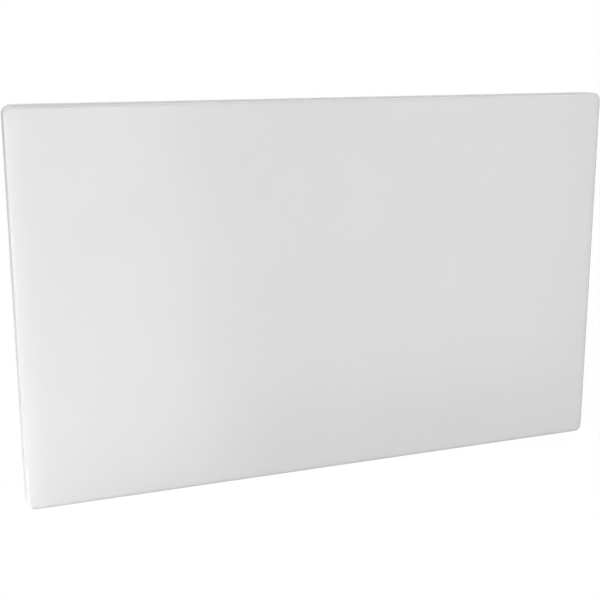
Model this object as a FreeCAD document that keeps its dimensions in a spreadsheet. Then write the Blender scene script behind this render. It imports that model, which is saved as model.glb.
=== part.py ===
import FreeCAD, Part
import os
import Sketcher
from math import pi

# Commercial cutting board: one plain slab of white high-density polyethylene, with no handle,
# groove, hole or foot. Both faces are the same, so the board can be turned over.
#
# Millimetres. The board lies flat: X runs along its length, Y across its width, and +Z comes up out
# of the upper face. The origin is the centre of the underside, which is the face it rests on.
#
# The footprint is the full-size gastronorm one, so the board fits gastronorm shelves and racks.

DIMENSIONS = {
    "board_length": 530.0,
    "board_width": 325.0,
    "board_thickness": 20.0,
    "corner_radius": 7.0,  # the four upright corners, seen from above
    "edge_radius": 3.0,  # the rounding between each face and the sides
}
NODE = "board_slab"
OUTPUT_FOLDER = "parts"
TOLERANCE = 0.001
QUARTER_TURN = pi / 2

# How Sketcher numbers the points of a line or an arc, and its own origin.
START, END, CENTRE = 1, 2, 3
SKETCH_ORIGIN = (-1, 1)


def add_dimension_sheet(doc):
    """One row per driving dimension: its name, its value, and the alias that expressions use."""
    sheet = doc.addObject("Spreadsheet::Sheet", "Dimensions")
    for row, (name, value) in enumerate(DIMENSIONS.items(), start=1):
        sheet.set(f"A{row}", name)
        sheet.set(f"B{row}", str(value))
        sheet.setAlias(f"B{row}", name)
    doc.recompute()


def origin_plane(body, role):
    """The body's own base plane with that role, such as XY_Plane."""
    return next(plane for plane in body.Origin.OriginFeatures if plane.Role == role)


def draw_outline(sketch):
    """Four sides and four corner arcs, drawn in turn counter-clockwise from the front side."""
    radius = DIMENSIONS["corner_radius"]
    x = DIMENSIONS["board_length"] / 2 - radius
    y = DIMENSIONS["board_width"] / 2 - radius
    upwards = FreeCAD.Vector(0, 0, 1)
    arcs = []
    for number, centre in enumerate(((x, -y), (x, y), (-x, y), (-x, -y))):
        circle = Part.Circle(FreeCAD.Vector(*centre, 0), upwards, radius)
        first_angle = (number - 1) * QUARTER_TURN
        arcs.append(Part.ArcOfCircle(circle, first_angle, first_angle + QUARTER_TURN))
    for number, arc in enumerate(arcs):
        side = Part.LineSegment(arcs[number - 1].EndPoint, arc.StartPoint)
        sketch.addGeometry(side, False)
        sketch.addGeometry(arc, False)


def constrain_outline(sketch):
    """Smooth corners of equal radius, square sides, centred on the origin and sized by the sheet."""
    outline = range(8)
    front, front_right, right, back_right, back, back_left, left, front_left = outline

    def constrain(*terms):
        return sketch.addConstraint(Sketcher.Constraint(*terms))

    def bind(dimension, *terms):
        constraint = constrain(*terms, DIMENSIONS[dimension])
        sketch.renameConstraint(constraint, dimension)
        sketch.setExpression(f"Constraints.{dimension}", f"Dimensions.{dimension}")

    for number in outline:
        constrain("Tangent", number, END, (number + 1) % len(outline), START)
    for side in (front, back):
        constrain("Horizontal", side)
    for side in (right, left):
        constrain("Vertical", side)
    for arc in (back_right, back_left, front_left):
        constrain("Equal", front_right, arc)
    constrain("Symmetric", front_left, CENTRE, back_right, CENTRE, *SKETCH_ORIGIN)
    bind("board_length", "DistanceX", left, START, right, START)
    bind("board_width", "DistanceY", front, START, back, START)
    bind("corner_radius", "Radius", front_right)


def add_outline_sketch(body):
    """The board's outline on the plane of its underside."""
    sketch = body.newObject("Sketcher::SketchObject", "outline")
    sketch.AttachmentSupport = (origin_plane(body, "XY_Plane"), [""])
    sketch.MapMode = "FlatFace"
    draw_outline(sketch)
    constrain_outline(sketch)
    return sketch


def add_blank(body, outline):
    """The slab with its outline cut and its edges still sharp."""
    blank = body.newObject("PartDesign::Pad", "blank")
    blank.Profile = outline
    blank.setExpression("Length", "Dimensions.board_thickness")
    return blank


def add_edge_rounding(body, blank):
    """Round over both faces all the way round: those are the only sharp edges the blank has."""
    rounding = body.newObject("PartDesign::Fillet", "edge_rounding")
    rounding.Base = (blank, [""])
    rounding.UseAllEdges = True
    rounding.setExpression("Radius", "Dimensions.edge_radius")


def make_board_slab(doc):
    """The whole board: cut the blank to its outline, then round its edges."""
    body = doc.addObject("PartDesign::Body", NODE)
    body.Label = NODE
    blank = add_blank(body, add_outline_sketch(body))
    doc.recompute()
    add_edge_rounding(body, blank)
    body.Placement = FreeCAD.Placement()
    doc.recompute()
    return body


def check(doc, body):
    """Stops the build if a feature failed, or if the slab isn't one valid solid of the right size."""
    for item in doc.Objects:
        if "Invalid" in item.State or "Error" in item.State:
            raise RuntimeError(f"{item.Label} did not recompute: {item.State}")
    if not doc.getObject("outline").FullyConstrained:
        raise RuntimeError("the outline sketch is not fully constrained")
    shape = body.Shape
    if shape.isNull() or not shape.isValid() or len(shape.Solids) != 1:
        raise RuntimeError(f"{body.Label} is not one valid solid")
    box = shape.optimalBoundingBox(False, False)
    wanted = [DIMENSIONS[f"board_{name}"] for name in ("length", "width", "thickness")]
    for found, size in zip((box.XLength, box.YLength, box.ZLength), wanted):
        if abs(found - size) > TOLERANCE:
            raise RuntimeError(f"{body.Label} measures {found} mm where {size} mm is wanted")


def main():
    doc = FreeCAD.newDocument("CuttingBoard")
    add_dimension_sheet(doc)
    board_slab = make_board_slab(doc)
    check(doc, board_slab)
    solid = board_slab.Shape.Solids[0]
    os.makedirs(OUTPUT_FOLDER, exist_ok=True)
    solid.exportStep(os.path.join(OUTPUT_FOLDER, f"{board_slab.Label}.step"))
    print(f"{board_slab.Label}: {solid.Volume:.0f} mm3, {len(solid.Faces)} faces")


main()
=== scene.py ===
# White polyethylene cutting board, lying on its underside.
#
# Metres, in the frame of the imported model: +X along the length, +Y across the width and +Z up.
# The camera looks down on the upper face with +Y at the top of the picture.

from math import cos, pi, radians, sin

import bmesh
import bpy
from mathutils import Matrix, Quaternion, Vector


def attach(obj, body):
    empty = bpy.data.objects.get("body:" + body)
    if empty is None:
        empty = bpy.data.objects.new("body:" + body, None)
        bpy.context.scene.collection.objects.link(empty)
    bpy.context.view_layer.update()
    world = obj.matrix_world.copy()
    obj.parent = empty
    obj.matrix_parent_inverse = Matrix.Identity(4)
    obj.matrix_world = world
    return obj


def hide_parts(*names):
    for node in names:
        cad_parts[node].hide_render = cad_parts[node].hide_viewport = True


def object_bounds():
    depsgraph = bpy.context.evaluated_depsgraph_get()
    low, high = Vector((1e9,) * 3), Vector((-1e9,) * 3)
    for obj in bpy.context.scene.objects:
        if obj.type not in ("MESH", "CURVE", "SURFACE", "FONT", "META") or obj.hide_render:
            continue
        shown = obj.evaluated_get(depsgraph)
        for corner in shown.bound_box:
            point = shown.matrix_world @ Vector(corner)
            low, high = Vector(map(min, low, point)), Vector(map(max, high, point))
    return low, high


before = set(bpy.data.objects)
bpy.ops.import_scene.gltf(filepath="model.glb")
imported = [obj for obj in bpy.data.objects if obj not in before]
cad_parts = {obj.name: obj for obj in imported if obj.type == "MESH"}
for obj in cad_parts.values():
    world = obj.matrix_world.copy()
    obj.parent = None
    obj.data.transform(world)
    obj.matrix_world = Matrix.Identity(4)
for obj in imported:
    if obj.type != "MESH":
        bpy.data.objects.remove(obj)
cad_low, cad_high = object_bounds()

MM = 0.001
SAME_POINT = 0.001 * MM
SAME_LEVEL = 0.01 * MM
QUARTER_TURN = pi / 2
X, Y, Z = range(3)

NODE = "board_slab"
SLOT = "white_polyethylene"


# ---------------------------------------------------------------- sizes, all read from the CAD node

def reach(axis, along, level):
    """How far the CAD slab's vertices go along one axis where they lie at that level along another."""
    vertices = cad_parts[NODE].data.vertices
    return max(v.co[axis] for v in vertices if abs(v.co[along] - level) < SAME_LEVEL)


HALF_LENGTH = cad_high.x
HALF_WIDTH = cad_high.y
UNDERSIDE = cad_low.z
UPPER_FACE = cad_high.z
EDGE_RADIUS = HALF_LENGTH - reach(X, Z, UPPER_FACE)
CORNER_RADIUS = HALF_WIDTH - reach(Y, X, HALF_LENGTH)


# ---------------------------------------------------------------- mesh of the slab

FACE_CELL = 6 * MM
SIDE_CELL = 2 * MM
ARC_STEPS = 20  # round each upright corner
ROUNDING_STEPS = 12  # over the edge of each face

ARC_CENTRE_X = HALF_LENGTH - CORNER_RADIUS
ARC_CENTRE_Y = HALF_WIDTH - CORNER_RADIUS
CELLS_X = round(2 * ARC_CENTRE_X / FACE_CELL)
CELLS_Y = round(2 * ARC_CENTRE_Y / FACE_CELL)


def between(start, end, steps):
    """The points from start towards end in equal steps, without the end itself."""
    return [start.lerp(end, step / steps) for step in range(steps)]


def loop_round(inset, height):
    """Points once round the board, counter-clockwise, at that distance inside its outline."""
    corners = ((1, -1), (1, 1), (-1, 1), (-1, -1))
    arcs = []
    for number, (side_x, side_y) in enumerate(corners):
        centre = Vector((side_x * ARC_CENTRE_X, side_y * ARC_CENTRE_Y, height))
        arc = []
        for step in range(ARC_STEPS + 1):
            angle = (number - 1 + step / ARC_STEPS) * QUARTER_TURN
            arc.append(centre + (CORNER_RADIUS - inset) * Vector((cos(angle), sin(angle), 0)))
        arcs.append(arc)
    points = []
    for number, arc in enumerate(arcs):
        following = arcs[(number + 1) % len(arcs)]
        cells = CELLS_Y if number % 2 == 0 else CELLS_X
        points += arc[:-1] + between(arc[-1], following[0], cells)
    return points


def profile():
    """(inset, height) steps over the rim: out along the underside, up the side, in along the top."""
    low_centre = UNDERSIDE + EDGE_RADIUS
    high_centre = UPPER_FACE - EDGE_RADIUS
    angles = [step / ROUNDING_STEPS * QUARTER_TURN for step in range(ROUNDING_STEPS + 1)]
    side_rows = round((high_centre - low_centre) / SIDE_CELL)
    steps = [(CORNER_RADIUS, UNDERSIDE)]
    for angle in angles:
        steps.append((EDGE_RADIUS * (1 - sin(angle)), low_centre - EDGE_RADIUS * cos(angle)))
    for row in range(1, side_rows):
        steps.append((0, low_centre + (high_centre - low_centre) * row / side_rows))
    for angle in angles:
        steps.append((EDGE_RADIUS * (1 - cos(angle)), high_centre + EDGE_RADIUS * sin(angle)))
    steps.append((CORNER_RADIUS, UPPER_FACE))
    return steps


def add_rim(mesh):
    """The border of both faces, both roundings and the side, as one band round the board."""
    loops = [[mesh.verts.new(point) for point in loop_round(*step)] for step in profile()]
    for lower, upper in zip(loops, loops[1:]):
        for number in range(len(lower)):
            after = (number + 1) % len(lower)
            mesh.faces.new((lower[number], lower[after], upper[after], upper[number]))


def add_middle(mesh, height, upwards):
    """The flat middle of one face, as a grid between the four corner arcs' centres."""
    rows = []
    for row in range(CELLS_Y + 1):
        y = ARC_CENTRE_Y * (2 * row / CELLS_Y - 1)
        xs = [ARC_CENTRE_X * (2 * column / CELLS_X - 1) for column in range(CELLS_X + 1)]
        rows.append([mesh.verts.new((x, y, height)) for x in xs])
    for near, far in zip(rows, rows[1:]):
        for column in range(CELLS_X):
            cell = (near[column], near[column + 1], far[column + 1], far[column])
            mesh.faces.new(cell if upwards else tuple(reversed(cell)))


def true_normal(point):
    """The slab's exact normal: away from the nearest point of the slab shrunk by its edge radius."""
    middle = Vector((
        max(-ARC_CENTRE_X, min(ARC_CENTRE_X, point.x)),
        max(-ARC_CENTRE_Y, min(ARC_CENTRE_Y, point.y)),
        0,
    ))
    outward = Vector((point.x, point.y, 0)) - middle
    core_radius = CORNER_RADIUS - EDGE_RADIUS
    if outward.length > core_radius:
        outward = outward.normalized() * core_radius
    core = middle + outward
    core.z = max(UNDERSIDE + EDGE_RADIUS, min(UPPER_FACE - EDGE_RADIUS, point.z))
    return (point - core).normalized()


def to_object(mesh, name, data_name):
    """A new object in the scene, made from a bmesh."""
    data = bpy.data.meshes.new(data_name)
    mesh.to_mesh(data)
    mesh.free()
    made = bpy.data.objects.new(name, data)
    bpy.context.scene.collection.objects.link(made)
    return made


def make_slab():
    """The board as one closed mesh that shades as exactly as the real curves."""
    mesh = bmesh.new()
    add_rim(mesh)
    add_middle(mesh, UNDERSIDE, upwards=False)
    add_middle(mesh, UPPER_FACE, upwards=True)
    bmesh.ops.remove_doubles(mesh, verts=mesh.verts, dist=SAME_POINT)
    slab = to_object(mesh, "board", "board_slab_visual")
    slab.data.shade_smooth()
    slab.data.normals_split_custom_set_from_vertices([true_normal(v.co) for v in slab.data.vertices])
    return slab


# ---------------------------------------------------------------- node trees

WHITE = (1, 1, 1, 1)


class Nodes:
    """Short calls for filling an empty node tree."""

    def __init__(self, owner):
        owner.use_nodes = True
        self.tree = owner.node_tree
        self.tree.nodes.clear()

    def add(self, kind, inputs=None, **settings):
        """A new node. inputs gives its sockets, by name or number, a value or another node's output."""
        node = self.tree.nodes.new(kind)
        for name, value in settings.items():
            setattr(node, name, value)
        for socket, value in (inputs or {}).items():
            if isinstance(value, bpy.types.NodeSocket):
                self.tree.links.new(value, node.inputs[socket])
            else:
                node.inputs[socket].default_value = value
        return node

    def axes(self, vector):
        """The three outputs X, Y and Z of a vector."""
        return self.add("ShaderNodeSeparateXYZ", {"Vector": vector}).outputs

    def maths(self, operation, *values):
        """One sum on plain values or other nodes' outputs."""
        return self.add("ShaderNodeMath", dict(enumerate(values)), operation=operation).outputs["Value"]

    def noise(self, place, scale, detail):
        """Smooth noise. At a scale of 1 its patches are about a metre wide."""
        inputs = {"Vector": place, "Scale": scale, "Detail": detail}
        return self.add("ShaderNodeTexNoise", inputs).outputs["Fac"]

    def remap(self, value, start, end, low, high, **settings):
        """low where value is start or less, high where it is end or more, and in between in between."""
        inputs = {"Value": value, "From Min": start, "From Max": end, "To Min": low, "To Max": high}
        return self.add("ShaderNodeMapRange", inputs, **settings).outputs["Result"]

    def bump(self, height, distance, below=None, strength=1.0):
        """The normal bent by a height, on top of any normal below it."""
        inputs = {"Height": height, "Distance": distance, "Strength": strength}
        if below:
            inputs["Normal"] = below
        return self.add("ShaderNodeBump", inputs).outputs["Normal"]

    def glow(self, strength, kind="ShaderNodeEmission"):
        """Plain white light."""
        return self.add(kind, {"Color": WHITE, "Strength": strength}).outputs[0]

    def blend(self, share, first, second):
        """The first shader where share is 0, the second where it is 1."""
        return self.add("ShaderNodeMixShader", {"Fac": share, 1: first, 2: second}).outputs["Shader"]

    def by_ray(self, seen, mirrored, lighting):
        """One shader for the camera, one for mirror reflections and one for all other light."""
        path = self.add("ShaderNodeLightPath").outputs
        indirect = self.blend(path["Is Glossy Ray"], lighting, mirrored)
        return self.blend(path["Is Camera Ray"], indirect, seen)


# ---------------------------------------------------------------- material

# Noise textures stay almost wholly between these two values.
NOISE_LOW = 0.3
NOISE_HIGH = 0.7

CLOUD_SCALE = 14.0  # soft patches of colour, some centimetres wide
CLOUD_DETAIL = 4.0
WHITES = (0.885, 0.9)  # the darkest and the lightest

WAVE_SCALE = 12.0  # how far from flat the pressed sheet is
WAVE_DETAIL = 1.0
WAVE_HEIGHT = 0.1 * MM

GRAIN_SCALE = 900.0  # the fine pebbled skin
GRAIN_DETAIL = 2.0
GRAIN_HEIGHT = 0.028 * MM
FACE_ROUGHNESS = (0.15, 0.18)

MARK_SCALE = 700.0  # the upright marks that a router leaves round the sides
MARK_DETAIL = 3.0
MARK_HEIGHT = 0.006 * MM
MARK_STRETCH = 0.03  # how fast they change from bottom to top, against along the side
SIDE_ROUGHNESS = (0.22, 0.26)
SIDE_FULL, SIDE_NONE = 0.1, 0.5  # the upward part of the normal where a surface is all side, and none

REFRACTION = 1.54
SCATTER_DISTANCE = 10 * MM  # how far light travels inside the plastic


def side_share(nodes, normal):
    """1 on the upright sides, 0 on the two faces."""
    levelness = nodes.maths("ABSOLUTE", nodes.axes(normal)["Z"])
    return nodes.remap(levelness, SIDE_FULL, SIDE_NONE, 1.0, 0.0)


def router_marks(nodes, place):
    """Noise that changes fast round the board and slowly from the underside to the upper face."""
    axes = nodes.axes(place)
    around = nodes.maths("ADD", axes["X"], axes["Y"])
    upwards = nodes.maths("MULTIPLY", axes["Z"], MARK_STRETCH)
    stretched = nodes.add("ShaderNodeCombineXYZ", {"X": around, "Z": upwards}).outputs["Vector"]
    return nodes.noise(stretched, MARK_SCALE, MARK_DETAIL)


def white_polyethylene():
    """Natural white HDPE: light goes in and scatters, and the skin is satin with a very fine pebble."""
    material = bpy.data.materials.new(SLOT)
    nodes = Nodes(material)
    coordinates = nodes.add("ShaderNodeTexCoord").outputs
    place = coordinates["Object"]
    side = side_share(nodes, coordinates["Normal"])
    clouds = nodes.noise(place, CLOUD_SCALE, CLOUD_DETAIL)
    waves = nodes.noise(place, WAVE_SCALE, WAVE_DETAIL)
    grain = nodes.noise(place, GRAIN_SCALE, GRAIN_DETAIL)
    marks = router_marks(nodes, place)

    colour = nodes.remap(clouds, NOISE_LOW, NOISE_HIGH, *WHITES)
    face_roughness = nodes.remap(grain, NOISE_LOW, NOISE_HIGH, *FACE_ROUGHNESS)
    side_roughness = nodes.remap(marks, NOISE_LOW, NOISE_HIGH, *SIDE_ROUGHNESS)
    roughness = nodes.add("ShaderNodeMix", {"Factor": side, "A": face_roughness, "B": side_roughness})
    sheet = nodes.bump(waves, WAVE_HEIGHT)
    skin = nodes.bump(grain, GRAIN_HEIGHT, below=sheet)
    skin = nodes.bump(marks, MARK_HEIGHT, below=skin, strength=side)

    plastic = nodes.add("ShaderNodeBsdfPrincipled", {
        "Base Color": colour,
        "Roughness": roughness.outputs["Result"],
        "IOR": REFRACTION,
        "Subsurface Weight": 1.0,
        "Subsurface Radius": (1.0, 1.0, 1.0),
        "Subsurface Scale": SCATTER_DISTANCE,
        "Normal": skin,
    })
    nodes.add("ShaderNodeOutputMaterial", {"Surface": plastic.outputs["BSDF"]})
    return material


# ---------------------------------------------------------------- floor and surroundings

FLOOR_REACH = 60.0
FLOOR_GAP = 0.1 * MM  # keeps the floor clear of the underside

# The room is darker beyond the near and right sides of the board than beyond the far and left ones.
# Each pair is the value on the dark half and the value on the bright half.
FLOOR_PAINT = (0.35, 0.6)
MIRRORED_HORIZON = (0.4, 0.87)
HALVES_BLEND = 0.4

# The sides mirror the floor right beside them, which glows only in mirror reflections: a painted
# reflection.
PAINTED_FLOOR_REFLECTION = (0.05, 0.95)  # beyond the near side and beyond the far side
PAINTED_FLOOR_REFLECTION_LEFT = (0.8, 0.3)  # beyond the left side, at its near end and at its far end

SHADOW_REACH = 30 * MM
SHADOW_LEVEL = 0.35  # how white the floor stays where the shadow is deepest
SHADOW_SAMPLES = 8
LOW_VIEW, HIGH_VIEW = 0.5, 0.8  # upward part of the way to the camera: full shadow, and none

FILL_LIGHT = 0.24
MIRRORED_ZENITH = 0.14
HAZE_FULL, HAZE_GONE = 0.2, 0.7  # upward part of the direction: as at the horizon, as overhead


def contact_shadow(nodes):
    """How white the floor looks: darker close under the board in low views, pure white from above."""
    steepness = nodes.axes(nodes.add("ShaderNodeNewGeometry").outputs["Incoming"])["Z"]
    darkest = nodes.remap(steepness, LOW_VIEW, HIGH_VIEW, SHADOW_LEVEL, 1.0)
    cover = nodes.add("ShaderNodeAmbientOcclusion", {"Distance": SHADOW_REACH}, samples=SHADOW_SAMPLES)
    return nodes.remap(cover.outputs["AO"], 0.0, 1.0, darkest, 1.0)


def two_halves(nodes, coordinates, dark, bright):
    """dark on the near and right half of the room, bright on the far and left half."""
    place = nodes.axes(nodes.add("ShaderNodeTexCoord").outputs[coordinates])
    leftwards = nodes.maths("DIVIDE", place["X"], -HALF_LENGTH)
    far_left = nodes.maths("ADD", leftwards, nodes.maths("DIVIDE", place["Y"], HALF_WIDTH))
    return nodes.remap(
        far_left, -HALVES_BLEND, HALVES_BLEND, dark, bright, interpolation_type="SMOOTHSTEP",
    )


def painted_floor_reflection(nodes):
    """The painted reflection: how bright the floor glows in mirror reflections, though it is no lamp."""
    place = nodes.axes(nodes.add("ShaderNodeTexCoord").outputs["Object"])
    strength = nodes.remap(place["Y"], 0.0, HALF_WIDTH, *PAINTED_FLOOR_REFLECTION)
    left = nodes.remap(place["Y"], -HALF_WIDTH, HALF_WIDTH, *PAINTED_FLOOR_REFLECTION_LEFT)
    beyond_left = nodes.maths("LESS_THAN", place["X"], -HALF_LENGTH)
    # painted reflection: this glow is seen only in mirror reflections, not lit by any lamp
    return nodes.glow(nodes.remap(beyond_left, 0.0, 1.0, strength, left))


def make_floor():
    """A plain pale floor that runs far past the picture on every side, glowing as a painted reflection
    in mirrors.
    """
    mesh = bmesh.new()
    level = UNDERSIDE - FLOOR_GAP
    corners = ((-1, -1), (1, -1), (1, 1), (-1, 1))
    mesh.faces.new([mesh.verts.new((FLOOR_REACH * x, FLOOR_REACH * y, level)) for x, y in corners])
    floor = to_object(mesh, "floor", "floor")
    material = bpy.data.materials.new("floor")
    nodes = Nodes(material)
    paint = nodes.add("ShaderNodeBsdfDiffuse", {"Color": two_halves(nodes, "Object", *FLOOR_PAINT)})
    seen = nodes.glow(contact_shadow(nodes))
    # the floor's glow in mirror reflections is a painted reflection
    shader = nodes.by_ray(seen, painted_floor_reflection(nodes), paint.outputs["BSDF"])
    nodes.add("ShaderNodeOutputMaterial", {"Surface": shader})
    material.cycles.emission_sampling = "NONE"  # so that each kind of ray meets its own shader
    floor.data.materials.append(material)
    return floor


def make_surroundings():
    """An even grey fill, paler towards the horizon in mirror reflections, and white to the camera."""
    world = bpy.data.worlds.new("surroundings")
    nodes = Nodes(world)
    kind = "ShaderNodeBackground"
    upwards = nodes.axes(nodes.add("ShaderNodeTexCoord").outputs["Generated"])["Z"]
    horizon = two_halves(nodes, "Generated", *MIRRORED_HORIZON)
    haze = nodes.remap(
        upwards, HAZE_FULL, HAZE_GONE, horizon, MIRRORED_ZENITH, interpolation_type="SMOOTHSTEP",
    )
    shader = nodes.by_ray(nodes.glow(1.0, kind), nodes.glow(haze, kind), nodes.glow(FILL_LIGHT, kind))
    nodes.add("ShaderNodeOutputWorld", {"Surface": shader})
    world.cycles.sampling_method = "NONE"  # for the same reason as the floor's
    bpy.context.scene.world = world


# ---------------------------------------------------------------- lights

CEILING = 1.5
SIDE_MIDDLE = (UNDERSIDE + UPPER_FACE) / 2

# Each panel: its name, its middle, the point it faces, its width, its height and its brightness.
#
# The upper face mirrors the two ceiling softboxes, and the border between them is the soft step in
# its sheen. The cards give the far and left roundings their shine.
MIRRORED_PANELS = (
    ("softbox_left", (0.02, -0.26, CEILING), (0.02, -0.26, 0), 0.55, 1.02, 2.3),
    ("softbox_right", (0.81, -0.19, CEILING), (0.81, -0.19, 0), 1.0, 0.89, 1.12),
    ("card_far", (0.75, 1.4, 0.82), (0.1, HALF_WIDTH, SIDE_MIDDLE), 1.5, 0.5, 4.6),
    ("card_left", (-1.3, 0.1, 0.9), (-HALF_LENGTH, 0, SIDE_MIDDLE), 1.0, 0.7, 2.5),
)
# The overhead panel lights the upper face. The others light the far and left sides, where light
# enters the plastic and makes the edge of the upper face glow.
LIGHTING_PANELS = (
    ("overhead", (0.35, 0.1, CEILING), (0.35, 0.1, 0), 1.2, 0.9, 4.03),
    ("far_side", (0, 1.1, 0.35), (0, HALF_WIDTH, SIDE_MIDDLE), 1.6, 0.5, 0.22),
    ("left_side_low", (-0.55, -0.3, 0.17), (-HALF_LENGTH, -0.16, SIDE_MIDDLE), 0.12, 0.2, 8.0),
    ("left_side_high", (-0.85, 0.2, 0.18), (-HALF_LENGTH, 0.12, SIDE_MIDDLE), 0.5, 0.28, 3.8),
)
SOFTBOX_TURN = radians(4)  # turns the left softbox, so that the step leans a little


def add_panel(name, middle, aim, width, height, brightness, mirrored):
    """A soft rectangle of light that is either only mirrored or only gives light."""
    data = bpy.data.lights.new(name, "AREA")
    data.shape = "RECTANGLE"
    data.size = width
    data.size_y = height
    data.energy = brightness * width * height * pi  # the watts that make its face that bright
    panel = bpy.data.objects.new(name, data)
    panel.location = middle
    panel.rotation_mode = "QUATERNION"
    panel.rotation_quaternion = (Vector(aim) - Vector(middle)).to_track_quat("-Z", "Y")
    panel.visible_camera = False
    panel.visible_glossy = mirrored
    panel.visible_diffuse = not mirrored
    bpy.context.scene.collection.objects.link(panel)
    return panel


def make_lights():
    """Both groups of panels, round the board and above it."""
    panels = {panel[0]: add_panel(*panel, mirrored=True) for panel in MIRRORED_PANELS}
    panels["softbox_left"].rotation_quaternion @= Quaternion((0, 0, 1), SOFTBOX_TURN)
    for panel in LIGHTING_PANELS:
        add_panel(*panel, mirrored=False)


# ---------------------------------------------------------------- camera

LENS = 65.85  # this and the sensor's width are in millimetres
SENSOR = 36.0
CAMERA_DISTANCE = 0.936
CAMERA_TURN = radians(20.73)
CAMERA_DIP = radians(13.2)
CAMERA_ROLL = radians(-0.12)
AIM = Vector((-0.0288, -0.0062, UPPER_FACE))


def make_camera():
    """Looks down on the upper face from its left and from above its far side, with +Y up the picture."""
    data = bpy.data.cameras.new("camera")
    data.lens = LENS
    data.sensor_width = SENSOR
    camera = bpy.data.objects.new("camera", data)
    camera.rotation_euler = (-CAMERA_DIP, -CAMERA_TURN, CAMERA_ROLL)
    backwards = camera.rotation_euler.to_matrix() @ Vector((0, 0, 1))
    camera.location = AIM + CAMERA_DISTANCE * backwards
    bpy.context.scene.collection.objects.link(camera)
    bpy.context.scene.camera = camera


# ---------------------------------------------------------------- put together

slab = make_slab()
slab.data.materials.append(white_polyethylene())
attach(slab, "root")
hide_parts(NODE)

make_floor()
make_surroundings()
make_lights()
make_camera()
bpy.context.scene.view_settings.view_transform = "Standard"
